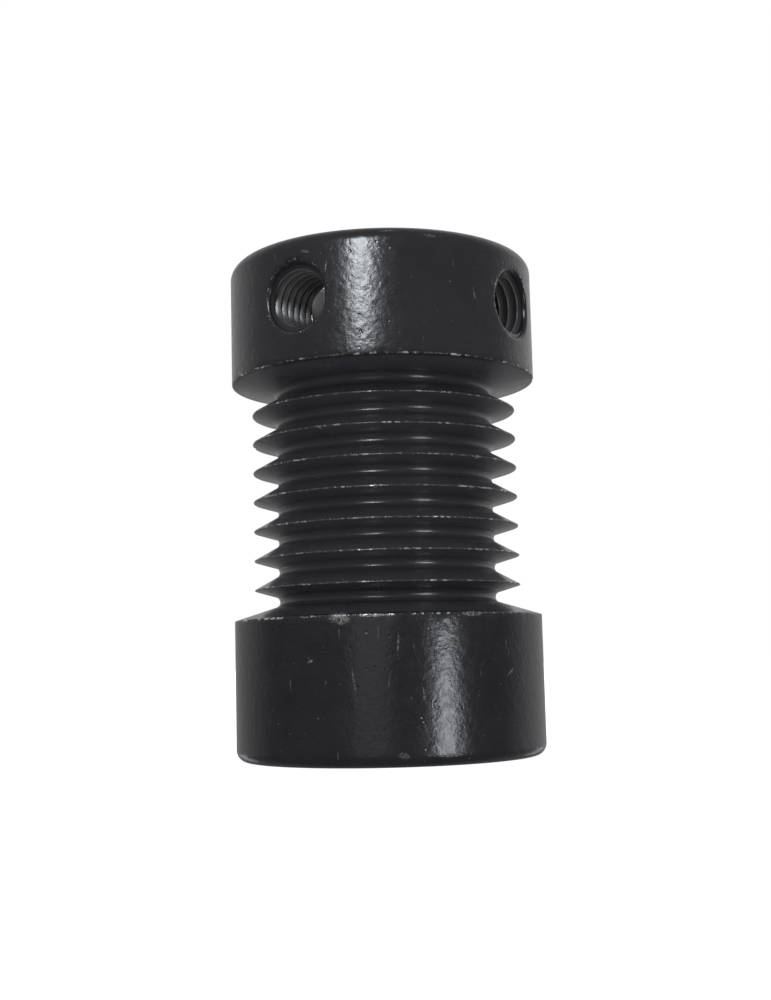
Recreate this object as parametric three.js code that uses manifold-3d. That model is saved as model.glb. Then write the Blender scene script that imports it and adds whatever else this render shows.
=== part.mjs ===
// Flexible shaft coupling, turned from bar: two clamping hubs joined by a sleeve with V-grooves.
// The sleeve is divided where it flexes: into the root web at the bottom of each groove and the ridge
// between each two grooves. Millimetres, +Z along the shafts, origin at the centre of the lower end
// face, one tapped hole of the upper hub along -Y and the other along +X.
import * as THREE from 'three';
import { mergeVertices } from 'three/addons/utils/BufferGeometryUtils.js';
import Module from 'manifold-3d';

const wasm = await Module();
wasm.setup();

// Hubs
const LENGTH = 40.5;
const HUB_RADIUS = 12.5;
const BORE_RADIUS = 7;
const BORE_CHAMFER = 0.5;
const LOWER_EDGE_ROUND = 0.9;
const UPPER_EDGE_ROUND = 1.2;

// Grooved sleeve
const GROOVES = 8;
const GROOVE_PITCH = 2.396;
const FIRST_GROOVE_Z = 12.67;
const ROOT_RADIUS = 8.82;
const ROOT_FILLET = 0.45;
const RIDGE_TOP_FLANK = THREE.MathUtils.degToRad(29);
const RIDGE_UNDER_FLANK = THREE.MathUtils.degToRad(16.5);
const LOWER_HUB_FLANK = THREE.MathUtils.degToRad(17.5);
const UPPER_HUB_FLANK = THREE.MathUtils.degToRad(11.5);
const CREST_RADIUS = 10.86;
const SLEEVE_INNER_RADIUS = 8.15;
const INNER_GROOVE_RADIUS = 9.3;
const INNER_GROOVE_HALF_WIDTH = 0.35;
const WEB_HALF_HEIGHT = 0.25;
const FLEX_GAP = 0.3;
const CAVITY_SHOULDER = 0.7;
const HUB_WEB = 0.9;

// Tapped holes and set screws, M5
const TAP_RADIUS = 2.5;
const COUNTERSINK_RADIUS = 3;
const COUNTERSINK_DEPTH = 0.3;
const HOLE_TO_END_FACE = 4.95;
const SCREW_RADIUS = 2.2;
const SCREW_LENGTH = 5;
const SCREW_TIP_AT = 7.3;
const SCREW_END_CHAMFER = 0.4;
const CUP_RADIUS = 1.2;
const CUP_DEPTH = 0.6;
const SOCKET_ACROSS_FLATS = 2.5;
const SOCKET_DEPTH = 2.4;

// Facets
const TURNED_SEGMENTS = 32;
const HOLE_SEGMENTS = 16;
const ROUND_STEPS = 3;

const coating = { color: 0x242429, roughness: 0.42, metalness: 0.35 };
const screwSteel = { color: 0x2b2b2e, roughness: 0.35, metalness: 0.8 };

// A profile is a list of [radius, height] that runs anticlockwise round the section, bore at the left.
function turned(profile, segments = TURNED_SEGMENTS) {
  const points = [...profile, profile[0]].map(([radius, height]) => new THREE.Vector2(radius, height));
  const geometry = new THREE.LatheGeometry(points, segments);
  geometry.rotateX(Math.PI / 2);
  geometry.rotateZ(Math.PI / 2);
  return geometry;
}

function toSolid(geometry) {
  const bare = geometry.clone();
  bare.deleteAttribute('normal');
  bare.deleteAttribute('uv');
  const merged = mergeVertices(bare, 1e-4);
  return new wasm.Manifold(new wasm.Mesh({
    numProp: 3,
    vertProperties: new Float32Array(merged.attributes.position.array),
    triVerts: new Uint32Array(merged.index.array),
  }));
}

function toGeometry(solid) {
  const mesh = solid.getMesh();
  const geometry = new THREE.BufferGeometry();
  geometry.setAttribute('position', new THREE.BufferAttribute(mesh.vertProperties, 3));
  geometry.setIndex(new THREE.BufferAttribute(mesh.triVerts, 1));
  geometry.computeVertexNormals();
  return geometry;
}

function arc(centreRadius, centreHeight, round, from, to) {
  const points = [];
  for (let step = 0; step <= ROUND_STEPS; step += 1) {
    const angle = from + ((to - from) * step) / ROUND_STEPS;
    points.push([centreRadius + round * Math.cos(angle), centreHeight + round * Math.sin(angle)]);
  }
  return points;
}

// A groove's flank leaves the root fillet at its own angle to the radial direction.
// The rise is measured from the groove's middle plane.
function flankRise(radius, flank) {
  const filletCentre = ROOT_RADIUS + ROOT_FILLET;
  return (radius - filletCentre) * Math.tan(flank) + ROOT_FILLET / Math.cos(flank);
}

function radiusAtRise(rise, flank) {
  return ROOT_RADIUS + ROOT_FILLET + (rise - ROOT_FILLET / Math.cos(flank)) / Math.tan(flank);
}

const grooveZ = (groove) => FIRST_GROOVE_Z + groove * GROOVE_PITCH;
const SOLID_START = WEB_HALF_HEIGHT + FLEX_GAP;

function lowerHubProfile() {
  const top = grooveZ(0) - SOLID_START;
  const shoulder = grooveZ(0) - flankRise(HUB_RADIUS, LOWER_HUB_FLANK);
  const cavityFloor = top - HUB_WEB;
  return [
    [BORE_RADIUS, BORE_CHAMFER],
    [BORE_RADIUS + BORE_CHAMFER, 0],
    ...arc(HUB_RADIUS - LOWER_EDGE_ROUND, LOWER_EDGE_ROUND, LOWER_EDGE_ROUND, -Math.PI / 2, 0),
    [HUB_RADIUS, shoulder],
    [radiusAtRise(SOLID_START, LOWER_HUB_FLANK), top],
    [SLEEVE_INNER_RADIUS, top],
    [SLEEVE_INNER_RADIUS, cavityFloor],
    [BORE_RADIUS, cavityFloor - CAVITY_SHOULDER],
  ];
}

function upperHubProfile() {
  const bottom = grooveZ(GROOVES - 1) + SOLID_START;
  const shoulder = grooveZ(GROOVES - 1) + flankRise(HUB_RADIUS, UPPER_HUB_FLANK);
  const cavityRoof = bottom + HUB_WEB;
  return [
    [BORE_RADIUS, cavityRoof + CAVITY_SHOULDER],
    [SLEEVE_INNER_RADIUS, cavityRoof],
    [SLEEVE_INNER_RADIUS, bottom],
    [radiusAtRise(SOLID_START, UPPER_HUB_FLANK), bottom],
    [HUB_RADIUS, shoulder],
    ...arc(HUB_RADIUS - UPPER_EDGE_ROUND, LENGTH - UPPER_EDGE_ROUND, UPPER_EDGE_ROUND, 0, Math.PI / 2),
    [BORE_RADIUS + BORE_CHAMFER, LENGTH],
    [BORE_RADIUS, LENGTH - BORE_CHAMFER],
  ];
}

function ridgeProfile(lowerGroove) {
  const bottom = grooveZ(lowerGroove) + SOLID_START;
  const top = grooveZ(lowerGroove + 1) - SOLID_START;
  const middle = (bottom + top) / 2;
  return [
    [SLEEVE_INNER_RADIUS, bottom],
    [radiusAtRise(SOLID_START, RIDGE_UNDER_FLANK), bottom],
    [CREST_RADIUS, grooveZ(lowerGroove) + flankRise(CREST_RADIUS, RIDGE_UNDER_FLANK)],
    [CREST_RADIUS, grooveZ(lowerGroove + 1) - flankRise(CREST_RADIUS, RIDGE_TOP_FLANK)],
    [radiusAtRise(SOLID_START, RIDGE_TOP_FLANK), top],
    [SLEEVE_INNER_RADIUS, top],
    [SLEEVE_INNER_RADIUS, middle + INNER_GROOVE_HALF_WIDTH],
    [INNER_GROOVE_RADIUS, middle],
    [SLEEVE_INNER_RADIUS, middle - INNER_GROOVE_HALF_WIDTH],
  ];
}

function rootWebProfile(groove) {
  const bottom = grooveZ(groove) - WEB_HALF_HEIGHT;
  const top = grooveZ(groove) + WEB_HALF_HEIGHT;
  return [
    [SLEEVE_INNER_RADIUS, bottom],
    [ROOT_RADIUS, bottom],
    [ROOT_RADIUS, top],
    [SLEEVE_INNER_RADIUS, top],
  ];
}

// A tapped hole with its countersink, cut from the bore outwards. Azimuth 0 is -Y, 90 degrees is +X.
function tappedHole(azimuthDegrees, height) {
  const outside = HUB_RADIUS + 1;
  const coneStart = HUB_RADIUS - COUNTERSINK_DEPTH;
  const widening = (COUNTERSINK_RADIUS - TAP_RADIUS) / COUNTERSINK_DEPTH;
  const profile = [
    [0, BORE_RADIUS / 2],
    [TAP_RADIUS, BORE_RADIUS / 2],
    [TAP_RADIUS, coneStart],
    [TAP_RADIUS + widening * (outside - coneStart), outside],
    [0, outside],
  ];
  const points = profile.map(([radius, along]) => new THREE.Vector2(radius, along));
  const hole = new THREE.LatheGeometry(points, HOLE_SEGMENTS);
  hole.rotateX(Math.PI);
  hole.rotateZ(THREE.MathUtils.degToRad(azimuthDegrees));
  hole.translate(0, 0, height);
  return toSolid(hole);
}

function drilledHub(profile, azimuths, holeHeight) {
  let hub = toSolid(turned(profile));
  for (const azimuth of azimuths) {
    hub = hub.subtract(tappedHole(azimuth, holeHeight));
  }
  return toGeometry(hub);
}

// A set screw standing along +Z, cup point down at height 0, hexagon socket open at the top.
function setScrewGeometry() {
  const body = [
    [0, CUP_DEPTH],
    [CUP_RADIUS, 0],
    [SCREW_RADIUS - SCREW_END_CHAMFER, 0],
    [SCREW_RADIUS, SCREW_END_CHAMFER],
    [SCREW_RADIUS, SCREW_LENGTH - SCREW_END_CHAMFER],
    [SCREW_RADIUS - SCREW_END_CHAMFER, SCREW_LENGTH],
    [0, SCREW_LENGTH],
  ];
  const points = body.map(([radius, height]) => new THREE.Vector2(radius, height));
  const blank = new THREE.LatheGeometry(points, HOLE_SEGMENTS);
  const acrossCorners = SOCKET_ACROSS_FLATS / Math.cos(Math.PI / 6);
  const socketHeight = SOCKET_DEPTH + 1;
  const socket = new THREE.CylinderGeometry(acrossCorners / 2, acrossCorners / 2, socketHeight, 6);
  socket.translate(0, SCREW_LENGTH - SOCKET_DEPTH + socketHeight / 2, 0);
  const screw = toGeometry(toSolid(blank).subtract(toSolid(socket)));
  return screw.rotateX(Math.PI / 2);
}

function addPiece(group, name, geometry, look) {
  const mesh = new THREE.Mesh(geometry, new THREE.MeshStandardMaterial(look));
  mesh.name = name;
  group.add(mesh);
  return mesh;
}

const coupling = new THREE.Group();
const upperHoleZ = LENGTH - HOLE_TO_END_FACE;

addPiece(coupling, 'lower_hub', drilledHub(lowerHubProfile(), [180, 270], HOLE_TO_END_FACE), coating);
addPiece(coupling, 'upper_hub', drilledHub(upperHubProfile(), [0, 90], upperHoleZ), coating);

for (let groove = 0; groove < GROOVES; groove += 1) {
  addPiece(coupling, `root_web_${groove + 1}`, turned(rootWebProfile(groove)), coating);
}
for (let ridge = 0; ridge < GROOVES - 1; ridge += 1) {
  addPiece(coupling, `ridge_${ridge + 1}`, turned(ridgeProfile(ridge)), coating);
}

const rearScrew = addPiece(coupling, 'set_screw_1', setScrewGeometry(), screwSteel);
rearScrew.position.set(0, SCREW_TIP_AT, HOLE_TO_END_FACE);
rearScrew.rotation.x = -Math.PI / 2;

const sideScrew = addPiece(coupling, 'set_screw_2', setScrewGeometry(), screwSteel);
sideScrew.position.set(-SCREW_TIP_AT, 0, HOLE_TO_END_FACE);
sideScrew.rotation.y = -Math.PI / 2;

export default coupling;
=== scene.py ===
import math
import random

import bmesh
import bpy
from mathutils import Matrix, Vector, noise


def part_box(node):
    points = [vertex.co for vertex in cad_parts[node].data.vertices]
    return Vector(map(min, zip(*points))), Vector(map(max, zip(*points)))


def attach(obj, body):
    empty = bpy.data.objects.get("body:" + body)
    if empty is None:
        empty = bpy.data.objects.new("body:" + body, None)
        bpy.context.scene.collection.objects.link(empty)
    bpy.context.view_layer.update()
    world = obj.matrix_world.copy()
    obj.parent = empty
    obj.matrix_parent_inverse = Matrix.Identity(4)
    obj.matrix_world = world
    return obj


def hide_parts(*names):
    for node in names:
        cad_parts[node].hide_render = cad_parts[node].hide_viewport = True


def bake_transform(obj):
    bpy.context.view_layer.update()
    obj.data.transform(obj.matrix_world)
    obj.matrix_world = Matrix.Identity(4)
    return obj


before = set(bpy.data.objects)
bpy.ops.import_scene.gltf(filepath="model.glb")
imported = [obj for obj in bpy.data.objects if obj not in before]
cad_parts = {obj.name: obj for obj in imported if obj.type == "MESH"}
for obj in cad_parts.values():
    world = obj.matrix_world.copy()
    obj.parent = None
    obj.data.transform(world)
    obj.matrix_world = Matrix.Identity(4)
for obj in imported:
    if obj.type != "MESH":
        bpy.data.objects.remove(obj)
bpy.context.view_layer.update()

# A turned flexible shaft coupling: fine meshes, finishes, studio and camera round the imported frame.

MM = 0.001

# Places and sizes that the CAD model sets
GROOVES = sum(1 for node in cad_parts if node.startswith("root_web_"))


def middle_z(node):
    low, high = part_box(node)
    return (low.z + high.z) / 2


GROOVE_Z = [middle_z(f"root_web_{k + 1}") for k in range(GROOVES)]
PITCH = GROOVE_Z[1] - GROOVE_Z[0]
HUB_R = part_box("lower_hub")[1].x
ROOT_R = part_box("root_web_1")[1].x
TOP_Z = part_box("upper_hub")[1].z
LOWER_HUB_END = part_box("lower_hub")[1].z
UPPER_HUB_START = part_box("upper_hub")[0].z
HOLE_Z_LOWER = middle_z("set_screw_1")
HOLE_Z_UPPER = TOP_Z - HOLE_Z_LOWER

# Groove section
ROOT_FILLET = 0.45 * MM
RIDGE_TOP_FLANK = math.radians(29)
RIDGE_UNDER_FLANK = math.radians(16.5)
LOWER_HUB_FLANK = math.radians(17.5)
UPPER_HUB_FLANK = math.radians(11.5)
CREST_ROUND = 0.05 * MM
SLEEVE_INNER_R = 8.15 * MM
INNER_GROOVE_R = 9.3 * MM
INNER_GROOVE_HALF_WIDTH = 0.35 * MM

# Hubs
BORE_R = 7 * MM
BORE_CHAMFER = 0.5 * MM
LOWER_EDGE_ROUND = 0.9 * MM
UPPER_EDGE_ROUND = 1.2 * MM
SHOULDER_ROUND = 0.07 * MM
HUB_WEB = 0.9 * MM
CAVITY_SHOULDER = 0.7 * MM

# M5 thread, tapped holes and set screws
THREAD_PITCH = 0.8 * MM
TAP_MINOR_R = 2.24 * MM
TAP_MAJOR_R = 2.6 * MM
TAP_CREST_ROUND = 0.07 * MM
TAP_START = 5.1 * MM
MOUTH_R = 2.86 * MM  # where the rounded edge meets the hub's side
MOUTH_INNER_R = 2.63 * MM
MOUTH_ROUND = 0.3 * MM
MOUTH_START = 25  # degrees; the rounding starts here, so that it meets the hub's side at an angle
SCREW_MAJOR_R = 2.05 * MM
SCREW_MINOR_R = 1.75 * MM
SCREW_CHAMFER = 0.35 * MM
SCREW_THREAD_OVERLAP = 0.02 * MM
CUP_R = 1.15 * MM
CUP_DEPTH = 0.6 * MM
SOCKET_ACROSS_FLATS = 2.5 * MM
SOCKET_DEPTH = 2.4 * MM
SOCKET_CONE = 0.4 * MM

# How far cutting tools reach past the surface they cut
CLEARANCE = 1 * MM

# Mesh density
TURNED_SEGMENTS = 240
THREAD_SEGMENTS = 64
SHARP_ANGLE = math.radians(34)

# Viewpoint: the camera stands between the upper hub's two tapped holes, level with the lower hub.
# Angles are in radians and the lens in mm.
VIEW_AZIMUTH = math.radians(31.8)
CAMERA_DISTANCE = 9.163 * HUB_R
CAMERA_HEIGHT = 0.629 * HUB_R
CAMERA_PITCH = 0.1137
CAMERA_ROLL = 0.0251
CAMERA_LENS = 50.18


# ---------------------------------------------------------------- mesh helpers

def arc(centre_r, centre_z, radius, start, end, steps):
    """Points on a round in the section plane; angles are from the outward radial direction."""
    points = []
    for i in range(steps + 1):
        angle = start + (end - start) * i / steps
        points.append((centre_r + radius * math.cos(angle), centre_z + radius * math.sin(angle)))
    return points


def line(start, end, steps):
    """Points from start up to but without end."""
    return [
        (start[0] + (end[0] - start[0]) * i / steps, start[1] + (end[1] - start[1]) * i / steps)
        for i in range(steps)
    ]


def object_from(bm, name):
    mesh = bpy.data.meshes.new(name)
    bm.to_mesh(mesh)
    bm.free()
    obj = bpy.data.objects.new(name, mesh)
    bpy.context.scene.collection.objects.link(obj)
    return obj


def lathe(name, profile, segments=TURNED_SEGMENTS):
    """A closed section of (radius, height) points, anticlockwise, turned about Z."""
    bm = bmesh.new()
    rings = []
    for i in range(segments):
        angle = 2 * math.pi * i / segments
        c, s = math.cos(angle), math.sin(angle)
        rings.append([bm.verts.new((r * c, r * s, z)) for r, z in profile])
    count = len(profile)
    for i in range(segments):
        here, after = rings[i], rings[(i + 1) % segments]
        for j in range(count):
            k = (j + 1) % count
            bm.faces.new((here[j], after[j], after[k], here[k]))
    return object_from(bm, name)


def solid_lathe(name, profile, segments):
    """Like lathe, for a section whose first and last points lie on the axis."""
    bm = bmesh.new()
    bottom = bm.verts.new((0, 0, profile[0][1]))
    top = bm.verts.new((0, 0, profile[-1][1]))
    rings = []
    for i in range(segments):
        angle = 2 * math.pi * i / segments
        c, s = math.cos(angle), math.sin(angle)
        rings.append([bm.verts.new((r * c, r * s, z)) for r, z in profile[1:-1]])
    for i in range(segments):
        here, after = rings[i], rings[(i + 1) % segments]
        bm.faces.new((bottom, after[0], here[0]))
        for j in range(len(here) - 1):
            bm.faces.new((here[j], after[j], after[j + 1], here[j + 1]))
        bm.faces.new((here[-1], after[-1], top))
    return object_from(bm, name)


def threaded_rod(name, turns, section, segments=THREAD_SEGMENTS):
    """A closed rod with a right-hand thread along +Z from z = 0.

    section lists (share of the pitch, radius) along one pitch.
    """
    bm = bmesh.new()
    rows = len(section)
    columns = segments * turns

    def point(step, row):
        share, radius = section[row % rows]
        angle = 2 * math.pi * step / segments
        height = THREAD_PITCH * (step / segments + share + row // rows)
        return (radius * math.cos(angle), radius * math.sin(angle), height)

    grid = [[bm.verts.new(point(step, row)) for row in range(rows)]
            for step in range(columns + segments + 1)]

    def vertex(step, row):
        return grid[step + segments * (row // rows)][row % rows]

    for step in range(columns):
        for row in range(rows):
            bm.faces.new((
                vertex(step, row), vertex(step + 1, row), vertex(step + 1, row + 1), vertex(step, row + 1)
            ))
    start_loop = [vertex(step, 0) for step in range(segments + 1)]
    start_loop += [vertex(0, row) for row in range(rows - 1, 0, -1)]
    end_loop = [vertex(columns + step, 0) for step in range(segments + 1)]
    end_loop += [vertex(columns, row) for row in range(rows - 1, 0, -1)]
    for loop, middle, flip in ((start_loop, 0.5, True), (end_loop, turns + 0.5, False)):
        centre = bm.verts.new((0, 0, middle * THREAD_PITCH))
        for i, corner in enumerate(loop):
            after = loop[(i + 1) % len(loop)]
            bm.faces.new((centre, after, corner) if flip else (centre, corner, after))
    for leftover in [v for v in bm.verts if not v.link_faces]:
        bm.verts.remove(leftover)
    return object_from(bm, name)


def place(obj, matrix):
    obj.data.transform(matrix)
    return obj


def boolean(obj, tool, operation):
    """Cuts or trims a closed mesh with a closed tool, and deletes the tool."""
    modifier = obj.modifiers.new("cut", "BOOLEAN")
    modifier.object = tool
    modifier.operation = operation
    modifier.solver = "MANIFOLD"
    depsgraph = bpy.context.evaluated_depsgraph_get()
    result = bpy.data.meshes.new_from_object(obj.evaluated_get(depsgraph))
    obj.modifiers.clear()
    result.name = obj.name
    obj.data = result
    bpy.data.objects.remove(tool)
    return obj


def outward(azimuth, height):
    """Turns +Z to the horizontal direction at this azimuth (0 is -Y, 90 degrees +X) and lifts to height."""
    turn = Matrix.Rotation(azimuth, 4, "Z") @ Matrix.Rotation(math.pi / 2, 4, "X")
    return Matrix.Translation((0, 0, height)) @ turn


# ---------------------------------------------------------------- section of the sleeve

def flank_rise(radius, flank):
    """Height of a groove's flank over the groove's middle plane."""
    return (radius - ROOT_R - ROOT_FILLET) * math.tan(flank) + ROOT_FILLET / math.cos(flank)


def fillet(groove_z, flank, side, steps=7):
    """The root's round, from the groove's middle plane to where the flank leaves it."""
    points = []
    for i in range(steps + 1):
        angle = (math.pi / 2 - flank) * i / steps
        points.append((
            ROOT_R + ROOT_FILLET - ROOT_FILLET * math.cos(angle),
            groove_z + side * ROOT_FILLET * math.sin(angle),
        ))
    return points


# The crest's round touches both flanks of a ridge, whose grooves are one pitch apart
SECANTS = 1 / math.cos(RIDGE_UNDER_FLANK) + 1 / math.cos(RIDGE_TOP_FLANK)
TANGENTS = math.tan(RIDGE_UNDER_FLANK) + math.tan(RIDGE_TOP_FLANK)
CREST_CENTRE_R = ROOT_R + ROOT_FILLET + (PITCH - (ROOT_FILLET + CREST_ROUND) * SECANTS) / TANGENTS
CREST_R = CREST_CENTRE_R + CREST_ROUND
CREST_OVER_GROOVE = flank_rise(CREST_CENTRE_R, RIDGE_UNDER_FLANK) + CREST_ROUND / math.cos(RIDGE_UNDER_FLANK)


def inner_groove_radius(over_groove):
    """Radius of the sleeve's inner wall at a height over the groove below."""
    from_middle = abs(over_groove - PITCH / 2)
    depth = max(0.0, 1 - from_middle / INNER_GROOVE_HALF_WIDTH)
    return SLEEVE_INNER_R + (INNER_GROOVE_R - SLEEVE_INNER_R) * depth


def ridge_lower_half(groove):
    z = GROOVE_Z[groove]
    crest_z = z + CREST_OVER_GROOVE
    outer = fillet(z, RIDGE_UNDER_FLANK, 1)
    crest = arc(CREST_CENTRE_R, crest_z, CREST_ROUND, RIDGE_UNDER_FLANK - math.pi / 2, 0, steps=4)
    outer = outer[:-1] + line(outer[-1], crest[0], steps=8) + crest
    inner = [
        (inner_groove_radius(CREST_OVER_GROOVE), crest_z),
        (SLEEVE_INNER_R, z + PITCH / 2 - INNER_GROOVE_HALF_WIDTH),
        (SLEEVE_INNER_R, z),
    ]
    return outer + inner


def ridge_upper_half(groove):
    crest_z = GROOVE_Z[groove] + CREST_OVER_GROOVE
    z = GROOVE_Z[groove] + PITCH
    root = fillet(z, RIDGE_TOP_FLANK, -1)[::-1]
    crest = arc(CREST_CENTRE_R, crest_z, CREST_ROUND, 0, math.pi / 2 - RIDGE_TOP_FLANK, steps=4)
    outer = crest[:-1] + line(crest[-1], root[0], steps=8) + root
    middle = GROOVE_Z[groove] + PITCH / 2
    inner = [
        (SLEEVE_INNER_R, z),
        (SLEEVE_INNER_R, middle + INNER_GROOVE_HALF_WIDTH),
        (INNER_GROOVE_R, middle),
        (inner_groove_radius(CREST_OVER_GROOVE), crest_z),
    ]
    return outer + inner


def lower_hub_profile():
    z = GROOVE_Z[0]
    shoulder_z = z - flank_rise(HUB_R, LOWER_HUB_FLANK)
    floor_z = LOWER_HUB_END - HUB_WEB
    round_z = shoulder_z - SHOULDER_ROUND * math.tan((math.pi / 2 - LOWER_HUB_FLANK) / 2)
    bottom = arc(HUB_R - LOWER_EDGE_ROUND, LOWER_EDGE_ROUND, LOWER_EDGE_ROUND, -math.pi / 2, 0, steps=12)
    shoulder = arc(HUB_R - SHOULDER_ROUND, round_z, SHOULDER_ROUND, 0, math.pi / 2 - LOWER_HUB_FLANK, steps=4)
    root = fillet(z, LOWER_HUB_FLANK, -1)[::-1]
    return [
        *line((BORE_R, BORE_CHAMFER), (BORE_R + BORE_CHAMFER, 0), steps=1),
        *line((BORE_R + BORE_CHAMFER, 0), bottom[0], steps=14),
        *bottom[:-1],
        *line(bottom[-1], shoulder[0], steps=22),
        *shoulder[:-1],
        *line(shoulder[-1], root[0], steps=12),
        *root,
        (SLEEVE_INNER_R, z),
        (SLEEVE_INNER_R, floor_z),
        *line((BORE_R, floor_z - CAVITY_SHOULDER), (BORE_R, BORE_CHAMFER), steps=12),
    ]


def upper_hub_profile():
    z = GROOVE_Z[-1]
    shoulder_z = z + flank_rise(HUB_R, UPPER_HUB_FLANK)
    roof_z = UPPER_HUB_START + HUB_WEB
    round_z = shoulder_z + SHOULDER_ROUND * math.tan((math.pi / 2 - UPPER_HUB_FLANK) / 2)
    top = arc(HUB_R - UPPER_EDGE_ROUND, TOP_Z - UPPER_EDGE_ROUND, UPPER_EDGE_ROUND, 0, math.pi / 2, steps=14)
    shoulder = arc(HUB_R - SHOULDER_ROUND, round_z, SHOULDER_ROUND, UPPER_HUB_FLANK - math.pi / 2, 0, steps=4)
    root = fillet(z, UPPER_HUB_FLANK, 1)
    return [
        *root[:-1],
        *line(root[-1], shoulder[0], steps=12),
        *shoulder[:-1],
        *line(shoulder[-1], top[0], steps=18),
        *top[:-1],
        *line(top[-1], (BORE_R + BORE_CHAMFER, TOP_Z), steps=12),
        (BORE_R + BORE_CHAMFER, TOP_Z),
        *line((BORE_R, TOP_Z - BORE_CHAMFER), (BORE_R, roof_z + CAVITY_SHOULDER), steps=12),
        (BORE_R, roof_z + CAVITY_SHOULDER),
        (SLEEVE_INNER_R, roof_z),
        (SLEEVE_INNER_R, z),
    ]


# ---------------------------------------------------------------- surface detail

def finish_surface(obj, material):
    """Smooth shading with sharp edges, the rest position as an attribute, and the material."""
    bm = bmesh.new()
    bm.from_mesh(obj.data)
    bm.normal_update()
    for face in bm.faces:
        face.smooth = True
    for edge in bm.edges:
        edge.smooth = len(edge.link_faces) == 2 and edge.calc_face_angle(0) < SHARP_ANGLE
    bm.to_mesh(obj.data)
    bm.free()
    rest = obj.data.attributes.new("rest", "FLOAT_VECTOR", "POINT")
    for vertex in obj.data.vertices:
        rest.data[vertex.index].vector = vertex.co
    obj.data.materials.clear()
    obj.data.materials.append(material)
    return obj


def crest_height(ridge):
    return GROOVE_Z[ridge - 1] + CREST_OVER_GROOVE


SHOULDER_LOWER_Z = GROOVE_Z[0] - flank_rise(HUB_R, LOWER_HUB_FLANK)
SHOULDER_UPPER_Z = GROOVE_Z[-1] + flank_rise(HUB_R, UPPER_HUB_FLANK)
SHARP_EDGES = [crest_height(ridge) for ridge in range(1, GROOVES)]
SHARP_EDGES += [SHOULDER_LOWER_Z, SHOULDER_LOWER_Z, SHOULDER_UPPER_Z, SHOULDER_UPPER_Z]
NICKS_PER_EDGE = 5
NICK_SEED = 4
NICKED_FROM_R = ROOT_R + 1.2 * MM
NICK_HEIGHT_SCALE = 1.6     # nicks are this much wider than they are high
NICK_NOISE_SCALE = 4 / MM


def scatter_nicks():
    """Small knocks in the sharp edges: azimuth in degrees, height, half size and depth."""
    chance = random.Random(NICK_SEED)
    nicks = []
    for height in SHARP_EDGES * NICKS_PER_EDGE:
        size = chance.uniform(0.25, 0.7) * MM
        nicks.append((chance.uniform(0, 360), height, size, chance.uniform(0.12, 0.2) * size))
    return nicks


NICKS = scatter_nicks()


def nick_edges(obj):
    """Pushes the surface in at the nicks."""
    for vertex in obj.data.vertices:
        radius = math.hypot(vertex.co.x, vertex.co.y)
        if radius < NICKED_FROM_R:
            continue
        azimuth = math.degrees(math.atan2(vertex.co.x, -vertex.co.y))
        push = 0.0
        for nick_azimuth, height, size, depth in NICKS:
            turn = (azimuth - nick_azimuth + 180) % 360 - 180
            across = math.radians(turn) * radius
            away = math.hypot(across, NICK_HEIGHT_SCALE * (vertex.co.z - height)) / size
            if away < 1:
                ragged = 0.75 + 0.5 * noise.noise(vertex.co * NICK_NOISE_SCALE)
                push = max(push, depth * (1 - away * away) ** 2 * ragged)
        if push:
            vertex.co.x *= 1 - push / radius
            vertex.co.y *= 1 - push / radius
    return obj


# ---------------------------------------------------------------- materials

class Nodes:
    """Short calls for building a node tree."""

    def __init__(self, tree):
        self.tree = tree
        tree.nodes.clear()

    def add(self, kind, settings=None, **inputs):
        node = self.tree.nodes.new(kind)
        for key, value in (settings or {}).items():
            setattr(node, key, value)
        for key, value in inputs.items():
            self.set(node, key, value)
        return node

    def set(self, node, key, value):
        socket = node.inputs[int(key[1:])] if key[0] == "i" and key[1:].isdigit() else node.inputs[key]
        if isinstance(value, bpy.types.NodeSocket):
            self.tree.links.new(value, socket)
        else:
            socket.default_value = value

    def math(self, operation, a, b=0.0):
        return self.add("ShaderNodeMath", {"operation": operation}, i0=a, i1=b).outputs[0]

    def product(self, *factors):
        result = factors[0]
        for factor in factors[1:]:
            result = self.math("MULTIPLY", result, factor)
        return result

    def length(self, vector):
        return self.add("ShaderNodeVectorMath", {"operation": "LENGTH"}, i0=vector).outputs["Value"]

    def combine(self, x, y, z=0.0):
        return self.add("ShaderNodeCombineXYZ", None, i0=x, i1=y, i2=z).outputs[0]

    def distance(self, a, b):
        return self.math("ABSOLUTE", self.math("SUBTRACT", a, b))

    def ramp(self, value, low, high, to_low=0.0, to_high=1.0):
        node = self.add("ShaderNodeMapRange", {"interpolation_type": "SMOOTHSTEP"}, i0=value)
        for index, number in enumerate((low, high, to_low, to_high), start=1):
            self.set(node, f"i{index}", number)
        return node.outputs[0]

    def noise(self, vector, scale, detail=2.0, roughness=0.5):
        node = self.add("ShaderNodeTexNoise", None, Vector=vector, Scale=scale, Detail=detail)
        self.set(node, "Roughness", roughness)
        return node.outputs[0]

    def mix(self, factor, a, b):
        node = self.add("ShaderNodeMix", {"data_type": "RGBA"})
        for index, value in ((0, factor), (6, a), (7, b)):
            self.set(node, f"i{index}", value)
        return node.outputs[2]


def grey(value, tint=(1.0, 1.0, 1.0)):
    return (value * tint[0], value * tint[1], value * tint[2], 1.0)


def rest_in_mm(n):
    position = n.add("ShaderNodeAttribute", {"attribute_name": "rest"}).outputs["Vector"]
    return n.add("ShaderNodeVectorMath", {"operation": "SCALE"}, i0=position, Scale=1 / MM).outputs[0]


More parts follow.
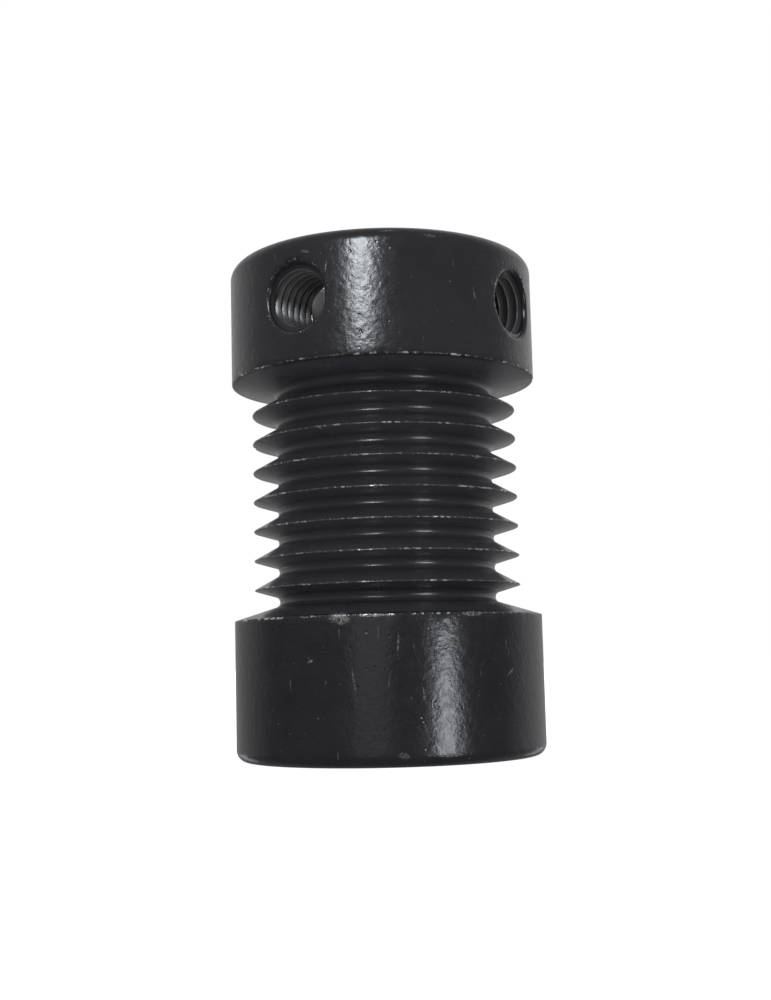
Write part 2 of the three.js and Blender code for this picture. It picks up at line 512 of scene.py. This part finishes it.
# The largest marks in the coating: degrees to the right of the viewpoint, height, half width
# and half height in mm, tilt in degrees, strength. The smaller ones come from noise.
LOWER_EDGE = SHOULDER_LOWER_Z / MM
UPPER_EDGE = SHOULDER_UPPER_Z / MM
TOP = TOP_Z / MM
HUB_MARKS = [
    (-17, LOWER_EDGE - 0.2, 1.05, 0.6, 8, 1.0),
    (-5, LOWER_EDGE - 0.1, 1.4, 0.12, 0, 0.9),
    (30, LOWER_EDGE - 0.1, 1.1, 0.25, 0, 0.8),
    (3, LOWER_EDGE * 0.8, 0.1, 1.0, 4, 0.6),
    (-28, LOWER_EDGE * 0.7, 0.35, 0.15, -25, 1.0),
    (-12, LOWER_EDGE * 0.55, 0.1, 1.6, -8, 0.45),
    (20, LOWER_EDGE * 0.4, 0.6, 0.3, 20, 0.4),
    (47, LOWER_EDGE * 0.6, 0.7, 0.1, -35, 0.5),
    (4, 0.9, 0.6, 0.3, 10, 0.35),
    (20, 0.8, 1.1, 0.16, 0, 0.7),
    (35, UPPER_EDGE + 5, 0.1, 0.65, -12, 0.6),
    (-19, TOP - 3, 0.08, 0.6, 8, 0.7),
    (-31, TOP - 2, 0.18, 0.16, 0, 0.8),
    (18, TOP - 0.8, 0.6, 0.16, 5, 0.7),
    (-27, TOP - 1.6, 0.5, 0.16, 15, 0.45),
    (3, TOP - 0.5, 0.9, 0.12, 0, 0.6),
    (-62, UPPER_EDGE + 1.6, 0.14, 0.8, 15, 0.6),
    (-66, UPPER_EDGE + 0.3, 0.5, 0.3, 0, 0.6),
]
CREST_MARKS = [
    (42, crest_height(5) / MM, 0.25, 0.25, 0, 0.9),
    (38, crest_height(4) / MM, 0.25, 0.22, 0, 0.9),
    (-4, crest_height(4) / MM, 0.2, 0.2, 0, 0.8),
    (-27, crest_height(6) / MM, 0.2, 0.2, 0, 0.7),
]


def mark_mask(n, place_mm, radius, aside, height, half_width, half_height, tilt, strength):
    """A soft-edged ellipse at this radius, reaching 1.2 mm in and out."""
    turn = VIEW_AZIMUTH + math.radians(aside)
    spot = n.add("ShaderNodeMapping", {"vector_type": "TEXTURE"}, Vector=place_mm)
    n.set(spot, "Location", (radius / MM * math.sin(turn), -radius / MM * math.cos(turn), height))
    n.set(spot, "Rotation", (0, math.radians(tilt), turn))
    n.set(spot, "Scale", (half_width, 1.2, half_height))
    return n.ramp(n.length(spot.outputs[0]), 1.0, 0.45, 0.0, strength)


# Tones of the coating, of what shows where it is worn and of the painted light noted below; each pair is
# mixed by a noise
HUB_TONES = (grey(0.023, (1.04, 1.0, 1.3)), grey(0.028, (1.04, 1.0, 1.24)))
# the sleeve's tones are lighter than the hubs' partly for dust in the grooves and partly as painted fill
# light that offsets the shade in the grooves and under the upper hub
SLEEVE_DUST_AND_PAINTED_FILL_TONES = (grey(0.06, (1.03, 1.0, 1.2)), grey(0.068, (1.03, 1.0, 1.16)))
# painted fill light: lightens the holes' walls where they lie deep in shade
HOLE_PAINTED_FILL_TONE = grey(0.12)
SCUFF_TONE = grey(0.3, (1.0, 1.0, 0.97))
# painted highlight: pale lines along the tapped threads' crests
THREAD_CREST_PAINTED_HIGHLIGHT = grey(0.4)
WORN_TONE = grey(0.7, (1.0, 0.99, 0.97))
BARE_TONES = (grey(0.2), grey(0.3))

# Relief of the coating, as shares of BUMP_DISTANCE
BUMP_DISTANCE = 0.022 * MM
PEEL_HEIGHT = 1.1
GRAIN_HEIGHT = 0.34
PIT_DEPTH = 0.7
TURNING_HEIGHT = 0.25
WEAR_DEPTH = 0.4


def sharp_edges(n, radius, height):
    """The ridges' crests and the hubs' shoulders."""
    crest = n.product(
        n.ramp(radius, CREST_R / MM - 0.11, CREST_R / MM - 0.02),
        n.math("LESS_THAN", radius, CREST_R / MM + 0.05),
        n.math("GREATER_THAN", height, GROOVE_Z[0] / MM + 0.6),
        n.math("LESS_THAN", height, GROOVE_Z[-1] / MM - 0.6),
    )
    from_shoulder = n.math("MINIMUM", n.distance(height, LOWER_EDGE), n.distance(height, UPPER_EDGE))
    shoulder = n.product(
        n.ramp(radius, HUB_R / MM - 0.14, HUB_R / MM - 0.03),
        n.ramp(from_shoulder, 0.16, 0.05),
    )
    return n.math("MAXIMUM", crest, shoulder)


def tapped_holes(n, parts, radius):
    """Masks of the mouths' edges, of all inside the holes, of their deeper part (for painted fill light) and
    of the thread crests (for a painted highlight).
    """
    across = n.math("MINIMUM", n.math("ABSOLUTE", parts[0]), n.math("ABSOLUTE", parts[1]))
    up = n.math("MINIMUM", n.distance(parts[2], HOLE_Z_LOWER / MM), n.distance(parts[2], HOLE_Z_UPPER / MM))
    from_axis = n.length(n.combine(across, up))
    # the upper hub's holes face +X and -Y, the lower hub's face -X and +Y
    holed_side = n.math("GREATER_THAN", n.product(
        n.math("SUBTRACT", parts[0], parts[1]), n.math("SUBTRACT", parts[2], TOP / 2)), 0.0)
    mouth = n.product(n.ramp(n.distance(from_axis, MOUTH_R / MM), 0.09, 0.02), holed_side)
    inside = n.product(
        n.math("LESS_THAN", from_axis, MOUTH_INNER_R / MM + 0.1),
        holed_side,
        n.math("LESS_THAN", radius, HUB_R / MM - 0.2),
        n.math("GREATER_THAN", radius, BORE_R / MM + 0.02),
    )
    # painted fill light: the deeper a hole's wall lies in shade, the lighter it is made
    deep_painted_fill = n.product(inside, n.ramp(radius, HUB_R / MM - 0.4, HUB_R / MM - 1.4))
    # where the painted highlight goes on the tapped threads' crests
    thread_crest_painted_highlight = n.product(n.ramp(from_axis, TAP_MINOR_R / MM + 0.06, TAP_MINOR_R / MM), inside)
    return mouth, inside, deep_painted_fill, thread_crest_painted_highlight


def marks_and_scratches(n, place_mm, radius, fine):
    """The large marks, broken up by the fine noise, then small specks and thin scratches all round."""
    scuff = 0.0
    for mark in HUB_MARKS:
        scuff = n.math("MAXIMUM", scuff, mark_mask(n, place_mm, HUB_R, *mark))
    for mark in CREST_MARKS:
        scuff = n.math("MAXIMUM", scuff, mark_mask(n, place_mm, CREST_R, *mark))
    scuff = n.product(scuff, n.ramp(fine, 0.4, 0.6))
    specks = n.product(n.ramp(n.noise(place_mm, 2.3, 2.0, 0.6), 0.73, 0.78), 0.4)
    stretched = n.add("ShaderNodeMapping", None, Vector=place_mm)
    n.set(stretched, "Rotation", (0.3, 0.5, 0.0))
    n.set(stretched, "Scale", (3.5, 3.5, 0.6))
    scratch = n.ramp(n.noise(stretched.outputs[0], 1.0, 2.0, 0.5), 0.7, 0.78, 0.0, 0.3)
    scratch = n.product(scratch, n.ramp(radius, HUB_R / MM - 0.3, HUB_R / MM - 0.1))
    return n.math("MAXIMUM", n.math("MAXIMUM", scuff, specks), scratch)


def orange_peel(n, place_mm):
    """Height of the coating's lumps, its finer grain and its scattered pits."""
    peel = n.noise(place_mm, 1.8, 1.0, 0.5)
    grain = n.noise(place_mm, 5.2, 1.0, 0.5)
    height = n.math("ADD", n.product(peel, PEEL_HEIGHT), n.product(grain, GRAIN_HEIGHT))
    cells = n.add("ShaderNodeTexVoronoi", None, Vector=place_mm, Scale=1.5).outputs
    pits = n.ramp(cells["Distance"], 0.24, 0.06)
    cell_chance = n.add("ShaderNodeSeparateXYZ", None, i0=cells["Color"]).outputs[0]
    pitted = n.math("GREATER_THAN", cell_chance, 0.45)
    return n.math("SUBTRACT", height, n.product(pits, pitted, PIT_DEPTH))


def coated_steel():
    """Satin black coating with orange peel, worn to grey metal along edges; bare steel in the bores; painted
    fill light in the grooves and holes and painted highlights on the thread crests.
    """
    material = bpy.data.materials.new("black_coating")
    material.use_nodes = True
    n = Nodes(material.node_tree)
    place_mm = rest_in_mm(n)
    parts = n.add("ShaderNodeSeparateXYZ", None, i0=place_mm).outputs
    radius = n.length(n.combine(parts[0], parts[1]))
    fine = n.noise(place_mm, 5.5, 3.0, 0.65)
    patchy = n.noise(place_mm, 0.55, 2.0, 0.5)

    # where the coating is worn through
    dashes = n.ramp(n.noise(place_mm, 2.6, 3.0, 0.7), 0.5, 0.57)
    rubbed = n.product(dashes, n.ramp(patchy, 0.46, 0.6, 0.1, 1.0))
    chipped = n.product(n.ramp(fine, 0.53, 0.6), n.ramp(patchy, 0.5, 0.6, 0.1, 1.0))
    mouth, in_hole, deep_painted_fill, thread_crest_painted_highlight = tapped_holes(n, parts, radius)
    bore_edge = n.product(
        n.ramp(n.distance(radius, (BORE_R + BORE_CHAMFER) / MM), 0.1, 0.02),
        n.math("GREATER_THAN", n.distance(parts[2], TOP / 2), TOP / 2 - 0.1),
    )
    worn = n.product(sharp_edges(n, radius, parts[2]), rubbed)
    worn = n.math("MAXIMUM", worn, n.product(mouth, chipped))
    worn = n.math("MAXIMUM", worn, n.product(bore_edge, chipped))
    pale = marks_and_scratches(n, place_mm, radius, fine)

    # the grooved sleeve and the hubs' flanks beside it, and the bare turned bores
    sleeve = n.product(
        n.ramp(radius, HUB_R / MM - 0.1, HUB_R / MM - 0.6),
        n.math("GREATER_THAN", parts[2], LOWER_EDGE),
        n.math("LESS_THAN", parts[2], UPPER_EDGE),
    )
    bare = n.ramp(radius, BORE_R / MM + 0.06, BORE_R / MM + 0.02)
    turning = n.noise(n.combine(0.0, 0.0, parts[2]), 9.0, 2.0, 0.6)

    cloud = n.ramp(n.noise(place_mm, 0.25, 3.0, 0.6), 0.35, 0.65)
    # the sleeve and the hubs' flanks beside it get the lighter tones: partly dust, partly painted fill light
    # against the grooves' shade
    tone = n.mix(sleeve, n.mix(cloud, *HUB_TONES), n.mix(cloud, *SLEEVE_DUST_AND_PAINTED_FILL_TONES))
    # painted fill light in the holes' deep shade
    tone = n.mix(deep_painted_fill, tone, HOLE_PAINTED_FILL_TONE)
    tone = n.mix(pale, tone, SCUFF_TONE)
    # painted highlight on the thread crests
    tone = n.mix(n.product(thread_crest_painted_highlight, 0.45), tone, THREAD_CREST_PAINTED_HIGHLIGHT)
    tone = n.mix(worn, tone, WORN_TONE)
    colour = n.mix(bare, tone, n.mix(turning, *BARE_TONES))

    smooth = n.math("MAXIMUM", n.math("MAXIMUM", bare, in_hole), n.product(sleeve, 0.7))
    height = n.product(orange_peel(n, place_mm), n.math("SUBTRACT", 1.0, smooth))
    height = n.math("ADD", height, n.product(turning, bare, TURNING_HEIGHT))
    height = n.math("SUBTRACT", height, n.product(n.math("MAXIMUM", worn, pale), WEAR_DEPTH))
    bump = n.add("ShaderNodeBump", None, Strength=1.0, Distance=BUMP_DISTANCE, Height=height)

    rough = n.ramp(n.noise(place_mm, 1.3, 3.0, 0.6), 0.3, 0.7, 0.205, 0.265)
    rough = n.math("ADD", rough, n.product(pale, 0.2))
    shader = n.add("ShaderNodeBsdfPrincipled")
    n.set(shader, "Base Color", colour)
    n.set(shader, "Metallic", n.math("MAXIMUM", n.product(worn, 0.4), n.product(bare, 0.9)))
    n.set(shader, "Roughness", rough)
    n.set(shader, "Normal", bump.outputs[0])
    n.add("ShaderNodeOutputMaterial", None, Surface=shader.outputs[0])
    return material


def oxide_steel():
    """Black-oxide screw steel, cloudy and finely grained."""
    material = bpy.data.materials.new("screw_steel")
    material.use_nodes = True
    n = Nodes(material.node_tree)
    place_mm = rest_in_mm(n)
    cloud = n.noise(place_mm, 1.6, 3.0, 0.6)
    grain = n.noise(place_mm, 11.0, 2.0, 0.6)
    colour = n.mix(n.ramp(cloud, 0.35, 0.68), grey(0.045, (0.95, 0.97, 1.05)), grey(0.11, (1.0, 0.98, 0.95)))
    bump = n.add("ShaderNodeBump", None, Strength=1.0, Distance=0.006 * MM, Height=grain)
    shader = n.add("ShaderNodeBsdfPrincipled", None, Metallic=0.85)
    n.set(shader, "Base Color", colour)
    n.set(shader, "Roughness", n.ramp(grain, 0.3, 0.7, 0.28, 0.42))
    n.set(shader, "Normal", bump.outputs[0])
    n.add("ShaderNodeOutputMaterial", None, Surface=shader.outputs[0])
    return material


COATING = coated_steel()
SCREW_STEEL = oxide_steel()


# ---------------------------------------------------------------- hubs with tapped holes

def screw_section():
    """One pitch of the screw's thread, as (share of the pitch, radius)."""
    root, crest = 0.25, 0.125
    major_r = SCREW_MAJOR_R + SCREW_THREAD_OVERLAP
    slope = (1 - root - crest) / 2
    return [
        (0.0, SCREW_MINOR_R), (root, SCREW_MINOR_R), (root + slope, major_r), (root + slope + crest, major_r),
    ]


def tapped_section():
    """One pitch of the tapped thread's section, with a round crest between flanks at 60 degrees."""
    section = []
    for degrees in (-60, -30, 0, 30, 60):
        angle = math.radians(degrees)
        share = TAP_CREST_ROUND * (math.sin(angle) + math.sin(math.pi / 3)) / THREAD_PITCH
        section.append((share, TAP_MINOR_R + TAP_CREST_ROUND * (1 - math.cos(angle))))
    flank = (TAP_MAJOR_R - section[-1][1]) * math.tan(math.pi / 6) / THREAD_PITCH
    section.append((section[-1][0] + flank, TAP_MAJOR_R))
    section.append((1 - flank, TAP_MAJOR_R))
    return section


def mouth_section():
    """The rounded edge at a hole's mouth, as (radius, rise over the hub's side), from the inside out."""
    section = []
    for degrees in (90, 68, 46, MOUTH_START):
        turn = math.radians(degrees)
        section.append((
            MOUTH_INNER_R + MOUTH_ROUND * (1 - math.sin(turn)),
            -MOUTH_ROUND * (1 - math.cos(turn)),
        ))
    radius, rise = section[-1]
    clear = 0.15 * MM
    section.append((radius + (clear - rise) / math.tan(math.radians(MOUTH_START)), clear))
    return section


def mouth_cutter(segments=72):
    """Cuts a hole's mouth: it follows the hub's round side, so the rounding is equally wide all round."""
    bm = bmesh.new()
    section = mouth_section()
    # the pointed inner end lies in the hole that is already there
    bottom = bm.verts.new((0, 0, HUB_R - 1.2 * MM))
    top = bm.verts.new((0, 0, HUB_R + CLEARANCE))
    columns = []
    for i in range(segments):
        angle = 2 * math.pi * i / segments
        column = []
        for radius, rise in section:
            across = radius * math.cos(angle)
            reach = math.sqrt(HUB_R ** 2 - across ** 2) + rise
            column.append(bm.verts.new((across, radius * math.sin(angle), reach)))
        widest = section[-1][0]
        column.append(bm.verts.new((
            widest * math.cos(angle), widest * math.sin(angle), HUB_R + CLEARANCE)))
        columns.append(column)
    for i in range(segments):
        here, after = columns[i], columns[(i + 1) % segments]
        bm.faces.new((bottom, after[0], here[0]))
        for j in range(len(section)):
            bm.faces.new((here[j], after[j], after[j + 1], here[j + 1]))
        bm.faces.new((here[-1], after[-1], top))
    return object_from(bm, "mouth")


def cut_tapped_hole(hub, azimuth, height):
    turns = math.ceil((HUB_R + CLEARANCE - TAP_START) / THREAD_PITCH)
    tap = threaded_rod("tap", turns, tapped_section())
    place(tap, outward(azimuth, height) @ Matrix.Translation((0, 0, TAP_START)))
    boolean(hub, tap, "DIFFERENCE")
    boolean(hub, place(mouth_cutter(), outward(azimuth, height)), "DIFFERENCE")


def make_hub(name, profile, azimuths, hole_z):
    hub = nick_edges(lathe(name, profile))
    for degrees in azimuths:
        cut_tapped_hole(hub, math.radians(degrees), hole_z)
    return finish_surface(hub, COATING)


lower_hub = make_hub("lower_hub_body", lower_hub_profile(), (180, 270), HOLE_Z_LOWER)
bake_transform(lower_hub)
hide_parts("lower_hub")

upper_hub = make_hub("upper_hub_body", upper_hub_profile(), (0, 90), HOLE_Z_UPPER)
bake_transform(upper_hub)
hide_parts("upper_hub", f"root_web_{GROOVES}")


# ---------------------------------------------------------------- sleeve

def make_ridge_half(name, profile, stands_for):
    half = finish_surface(nick_edges(lathe(name, profile)), COATING)
    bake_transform(half)
    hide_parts(stands_for)


for k in range(GROOVES - 1):
    web, ridge, next_web = f"root_web_{k + 1}", f"ridge_{k + 1}", f"root_web_{k + 2}"
    make_ridge_half(f"{ridge}_under_side", ridge_lower_half(k),
                    web)
    make_ridge_half(f"{ridge}_top_side", ridge_upper_half(k),
                    ridge)


# ---------------------------------------------------------------- set screws

def make_set_screw(name, node, azimuth, direction):
    """A cup-point screw with a hexagon socket, thread along the outward direction."""
    low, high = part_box(node)
    length = max(high.x - low.x, high.y - low.y)
    tip = min(abs(low.dot(direction)), abs(high.dot(direction)))
    body = [
        (0, CUP_DEPTH),
        (CUP_R, 0),
        (SCREW_MAJOR_R - SCREW_CHAMFER, 0),
        (SCREW_MAJOR_R, SCREW_CHAMFER),
        (SCREW_MAJOR_R, length - SCREW_CHAMFER),
        (SCREW_MAJOR_R - SCREW_CHAMFER, length),
        (0, length),
    ]
    screw = solid_lathe(name, body, THREAD_SEGMENTS)
    turns = math.ceil(length / THREAD_PITCH) + 2
    rod = threaded_rod("rod", turns, screw_section())
    place(rod, Matrix.Translation((0, 0, -1.5 * THREAD_PITCH)))
    boolean(screw, rod, "INTERSECT")
    corner_r = SOCKET_ACROSS_FLATS / 2 / math.cos(math.pi / 6)
    bottom = length - SOCKET_DEPTH
    end = length + CLEARANCE
    hexagon = [(0, bottom - SOCKET_CONE), (corner_r, bottom), (corner_r, end), (0, end)]
    boolean(screw, solid_lathe("socket", hexagon, 6), "DIFFERENCE")  # six segments: a hexagon
    place(screw, outward(azimuth, HOLE_Z_LOWER) @ Matrix.Translation((0, 0, tip)))
    finish_surface(screw, SCREW_STEEL)
    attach(screw, node)
    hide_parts(node)


make_set_screw("set_screw_1_body", "set_screw_1", math.pi, Vector((0, 1, 0)))
make_set_screw("set_screw_2_body", "set_screw_2", 1.5 * math.pi, Vector((-1, 0, 0)))


# ---------------------------------------------------------------- camera

def towards(azimuth, distance, height):
    """A point at this azimuth round the part; 0 is -Y."""
    return Vector((distance * math.sin(azimuth), -distance * math.cos(azimuth), height))


camera_data = bpy.data.cameras.new("camera")
camera = bpy.data.objects.new("camera", camera_data)
bpy.context.scene.collection.objects.link(camera)
camera_data.lens = CAMERA_LENS
camera_data.clip_start = 0.005
camera.matrix_world = (
    Matrix.Translation(towards(VIEW_AZIMUTH, CAMERA_DISTANCE, CAMERA_HEIGHT))
    @ Matrix.Rotation(VIEW_AZIMUTH, 4, "Z")
    @ Matrix.Rotation(math.pi / 2 + CAMERA_PITCH, 4, "X")
    @ Matrix.Rotation(-CAMERA_ROLL, 4, "Z")
)
bpy.context.scene.camera = camera


# ---------------------------------------------------------------- studio

# Degrees to the right of the viewpoint; bottom, top and width in hub radii; radiance
SOFTBOXES = {
    "high_softbox": (-13.4, 4.95, 9, 2.3, 23.5),    # the bright strip on the upper hub
    "low_softbox": (38.5, -2, 0.8, 2.2, 10),        # the bright strip on the lower hub
    "back_softbox_1": (140, -5, -1.4, 2, 1),        # faint strips for a view from behind
    "back_softbox_2": (-140, -5, -1.4, 2, 1),
    "fill_softbox": (-13, -1, 2.5, 4.5, 0.5),
}
SOFTBOX_DISTANCE = 10 * HUB_R
SOFTBOX_TINT = (0.95, 1.0, 1.05)


def softbox(name, azimuth, low, high, width, radiance):
    """A rectangular light that faces the part, from height low to height high."""
    data = bpy.data.lights.new(name, "AREA")
    data.shape = "RECTANGLE"
    data.size = width
    data.size_y = high - low
    data.energy = radiance * math.pi * width * (high - low)
    data.color = SOFTBOX_TINT
    light = bpy.data.objects.new(name, data)
    bpy.context.scene.collection.objects.link(light)
    light.location = towards(azimuth, SOFTBOX_DISTANCE, (low + high) / 2)
    back = light.location - Vector((0, 0, light.location.z))
    light.rotation_euler = back.to_track_quat("Z", "Y").to_euler()
    light.visible_camera = False
    light.visible_diffuse = False


for name, (aside, bottom, top, width, radiance) in SOFTBOXES.items():
    softbox(name, VIEW_AZIMUTH + math.radians(aside), bottom * HUB_R, top * HUB_R, width * HUB_R, radiance)

world = bpy.data.worlds.new("studio")
bpy.context.scene.world = world
world.use_nodes = True
w = Nodes(world.node_tree)
direction = w.add("ShaderNodeTexCoord").outputs["Generated"]


def along(vector):
    """How far a ray points along this unit vector, from -1 to 1."""
    dot = w.add("ShaderNodeVectorMath", {"operation": "DOT_PRODUCT"}, i0=direction, i1=tuple(vector))
    return dot.outputs["Value"]


# Reflections see a surround that is pale behind the part, more so on its right, and dark in front of it.
# Diffuse light comes evenly from above and below, and the camera sees white.
up = along((0, 0, 1))
behind = w.math("MINIMUM", along(towards(VIEW_AZIMUTH + math.pi, 1.0, 0.0)), 0.52)
beside = along(towards(VIEW_AZIMUTH + math.pi / 2, 1.0, 0.0))
surround = w.product(
    w.math("ADD", behind, 0.08),
    w.math("ADD", 0.67, w.product(beside, 0.14)),
    w.ramp(up, 0.0, 0.22, 1.0, 1.5),         # brighter above the horizon
    w.ramp(up, -0.12, -0.28, 1.0, 0.45),     # and dimmer well below it
)
surround = w.math("MAXIMUM", surround, w.ramp(up, 0.0, 0.24, 0.06, 0.3))
light_path = w.add("ShaderNodeLightPath").outputs
is_diffuse = light_path["Is Diffuse Ray"]
even = w.ramp(up, -0.5, 0.5, 0.5, 0.66)
strength = w.math("ADD", w.product(surround, w.math("SUBTRACT", 1.0, is_diffuse)),
                  w.product(even, is_diffuse))
strength = w.math("MAXIMUM", strength, light_path["Is Camera Ray"])
background = w.add("ShaderNodeBackground", None, Color=(1, 1, 1, 1), Strength=strength)
w.add("ShaderNodeOutputWorld", None, Surface=background.outputs[0])

FLOOR_R = 1.5
FLOOR_GLOW = 0.88

floor_mesh = bmesh.new()
bmesh.ops.create_circle(floor_mesh, cap_ends=True, segments=96, radius=FLOOR_R)
floor = object_from(floor_mesh, "floor")
floor_material = bpy.data.materials.new("pale_floor")
floor_material.use_nodes = True
f = Nodes(floor_material.node_tree)
floor_place = f.add("ShaderNodeTexCoord").outputs["Object"]
floor_tone = f.mix(f.noise(floor_place, 40.0), grey(0.80), grey(0.84))
floor_shader = f.add("ShaderNodeBsdfPrincipled", None, Roughness=0.9)
f.set(floor_shader, "Base Color", floor_tone)
f.set(floor_shader, "Emission Color", grey(1.0))
f.set(floor_shader, "Emission Strength", FLOOR_GLOW)
f.add("ShaderNodeOutputMaterial", None, Surface=floor_shader.outputs[0])
floor.data.materials.append(floor_material)
floor.visible_glossy = False
floor.visible_diffuse = False
floor.visible_shadow = False

bpy.context.scene.view_settings.view_transform = "Standard"
